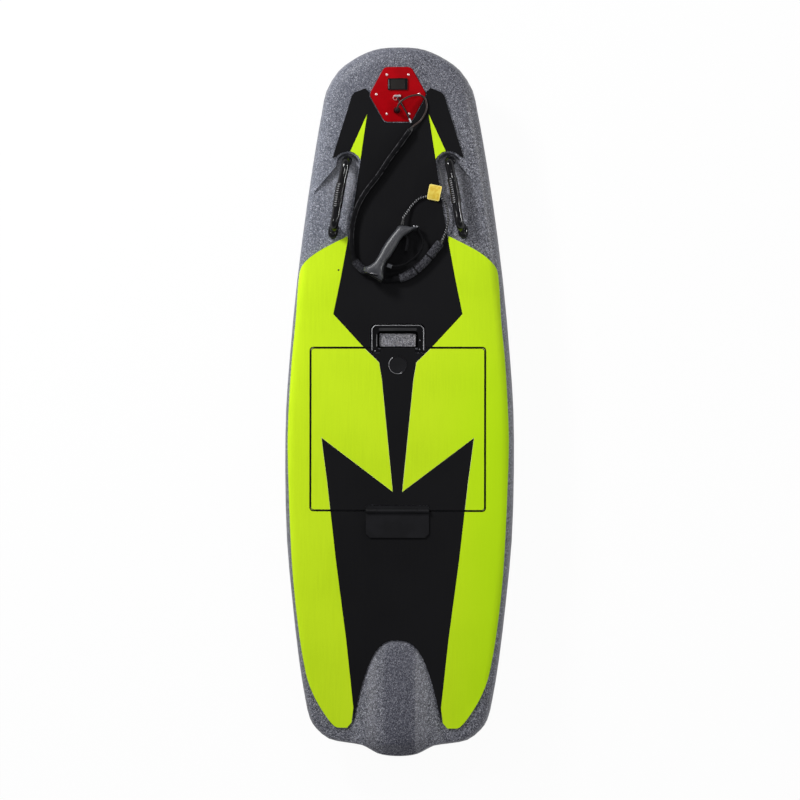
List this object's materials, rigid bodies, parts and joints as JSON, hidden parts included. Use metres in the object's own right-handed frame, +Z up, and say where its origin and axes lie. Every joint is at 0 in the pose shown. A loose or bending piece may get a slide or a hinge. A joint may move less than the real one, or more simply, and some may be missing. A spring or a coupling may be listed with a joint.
{
  "type": "electric surfboard",
  "caption": "Electric jet surfboard with a grip-padded deck, battery hatch, grab handles and a wired hand controller lying on the deck.",
  "frame": {"origin": "on the floor under the middle of the board, at the bottom centre of its bounding box", "axes": "+X to starboard, +Y to the bow, +Z up, with the deck level and the board parked on its belly and fins"},
  "size_m": [0.584, 1.7992, 0.2192],
  "materials": {
    "fleck_grey": "satin, grey with pale and bluish flecks",
    "pad_black": "matt foam",
    "pad_lime": "matt foam",
    "panel_red": "satin",
    "gloss_black": "gloss",
    "matte_black": "matt",
    "window": "gloss",
    "steel": "brushed",
    "alloy": "satin",
    "rubber": "matt",
    "tag_yellow": "matt",
    "tub_grey": "matt"
  },
  "bodies": {
    "board": {"hull": "fleck_grey", "pad_fore_black": "pad_black", "pad_tail_black": "pad_black", "pad_lime_port": "pad_lime", "pad_lime_starboard": "pad_lime", "pad_wedge_port": "pad_lime", "pad_wedge_starboard": "pad_lime", "hinge_plate": "matte_black", "hinge_pin": "steel", "latch_catch": "matte_black", "battery_tub": "tub_grey", "hatch_seal": "rubber", "battery_pack": "matte_black", "battery_handle": "rubber", "drive_motor": "alloy", "pump_housing": "alloy", "jet_nozzle": "alloy", "intake_grate": "matte_black", "fin_port": "matte_black", "fin_starboard": "matte_black", "display_panel": "panel_red", "display_bezel": "gloss_black", "display_window": "window", "key_socket": "panel_red", "key_clip": "steel", "key_lanyard": "rubber", "cable_gland": "gloss_black", "cable_lead": "rubber", "cable_sleeve": "rubber", "cable_tail": "rubber", "cable_tag": "tag_yellow", "handset_grip": "matte_black", "handset_guard": "gloss_black", "handset_trigger": "matte_black", "grab_handle_port": "gloss_black", "grab_handle_starboard": "gloss_black"},
    "hatch": {"hatch_lid": "fleck_grey", "hatch_pad_black": "pad_black", "hatch_pad_lime_port": "pad_lime", "hatch_pad_lime_starboard": "pad_lime", "vent_plug": "gloss_black", "hinge_leaf": "matte_black", "latch_lug_port": "matte_black", "latch_lug_starboard": "matte_black"},
    "latch": {"latch_bail": "gloss_black"},
    "impeller": {"impeller": "steel"}
  },
  "joints": [
    {"name": "hatch_hinge", "type": "hinge", "parent": "board", "child": "hatch", "pos_m": [0, -0.27625, 0.1751], "axis": [1, 0, 0], "range_deg": [0, 100]},
    {"name": "latch_hinge", "type": "hinge", "parent": "hatch", "child": "latch", "pos_m": [0, 0.1295, 0.1655], "axis": [1, 0, 0], "range_deg": [0, 95]},
    {"name": "impeller_spin", "type": "hinge", "parent": "board", "child": "impeller", "pos_m": [0, -0.8, 0.104], "axis": [0, 1, 0], "continuous": true}
  ]
}
